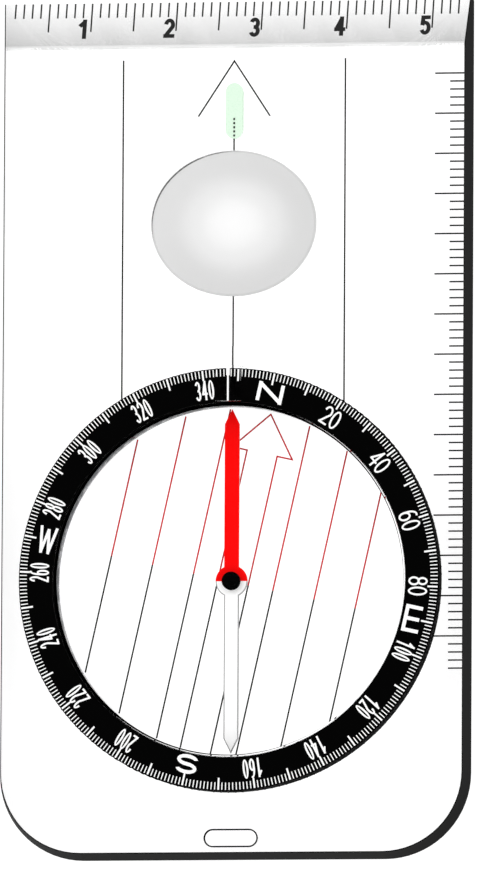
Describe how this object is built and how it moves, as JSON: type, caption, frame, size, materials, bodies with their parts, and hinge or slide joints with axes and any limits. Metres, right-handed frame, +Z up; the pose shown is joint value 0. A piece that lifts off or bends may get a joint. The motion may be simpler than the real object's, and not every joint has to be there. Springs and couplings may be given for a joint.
{
  "type": "baseplate compass",
  "caption": "Clear baseplate compass with a bevelled ruler edge, oval magnifier, turning dial with a sealed capsule, and a swinging magnetic needle.",
  "frame": {"origin": "on the resting plane, at the middle of the compass's outline", "axes": "+Z up from the table; +Y is the direction of travel, towards the ruler edge; +X towards the side scale"},
  "size_m": [0.0552, 0.0998, 0.0075],
  "materials": {
    "clear_acrylic": "clear moulded acrylic, polished",
    "lens_acrylic": "clear acrylic lens, polished",
    "capsule_clear": "clear moulded plastic, polished",
    "black_lacquer": "satin black lacquer",
    "black_ink": "black printing ink",
    "white_ink": "white printing ink",
    "red_ink": "red printing ink",
    "glow_paste": "pale green phosphorescent paste",
    "black_plastic": "fine-grained black moulded plastic",
    "felt": "grey felt",
    "seal_rubber": "black rubber",
    "spring_steel": "bare spring steel",
    "bright_steel": "polished steel",
    "red_lacquer": "bright red lacquer",
    "white_lacquer": "white lacquer",
    "brass": "turned brass",
    "jewel": "polished synthetic ruby"
  },
  "bodies": {
    "baseplate": {"baseplate": "clear_acrylic", "edge_lacquer": "black_lacquer", "magnifier_lens": "lens_acrylic", "luminous_marker": "glow_paste", "front_scale_marks": "black_ink", "front_scale_numerals": "black_ink", "side_scale_marks": "black_ink", "travel_arrow": "black_ink", "travel_line": "black_ink", "auxiliary_lines": "black_ink", "index_bridge": "clear_acrylic", "index_line": "white_ink", "glide_ring": "felt"},
    "dial": {"dial_ring": "black_plastic", "ten_degree_marks": "white_ink", "dial_numerals": "white_ink", "cardinal_letters": "white_ink", "capsule_base": "capsule_clear", "capsule_cover": "capsule_clear", "capsule_seal": "seal_rubber", "filler_plug": "seal_rubber", "retaining_ring": "spring_steel", "orienting_lines_north": "red_ink", "orienting_lines_south": "black_ink", "orienting_arrow": "red_ink", "pivot_pin": "bright_steel"},
    "needle": {"needle_bar": "bright_steel", "north_lacquer": "red_lacquer", "south_lacquer": "white_lacquer", "needle_bush": "brass", "jewel_cup": "jewel", "hub_cap": "black_plastic"}
  },
  "joints": [
    {"name": "dial_turn", "type": "hinge", "parent": "baseplate", "child": "dial", "pos_m": [0, -0.01787, 0], "axis": [0, 0, 1], "continuous": true},
    {"name": "needle_swing", "type": "hinge", "parent": "dial", "child": "needle", "pos_m": [0, -0.01787, 0], "axis": [0, 0, 1], "continuous": true}
  ]
}
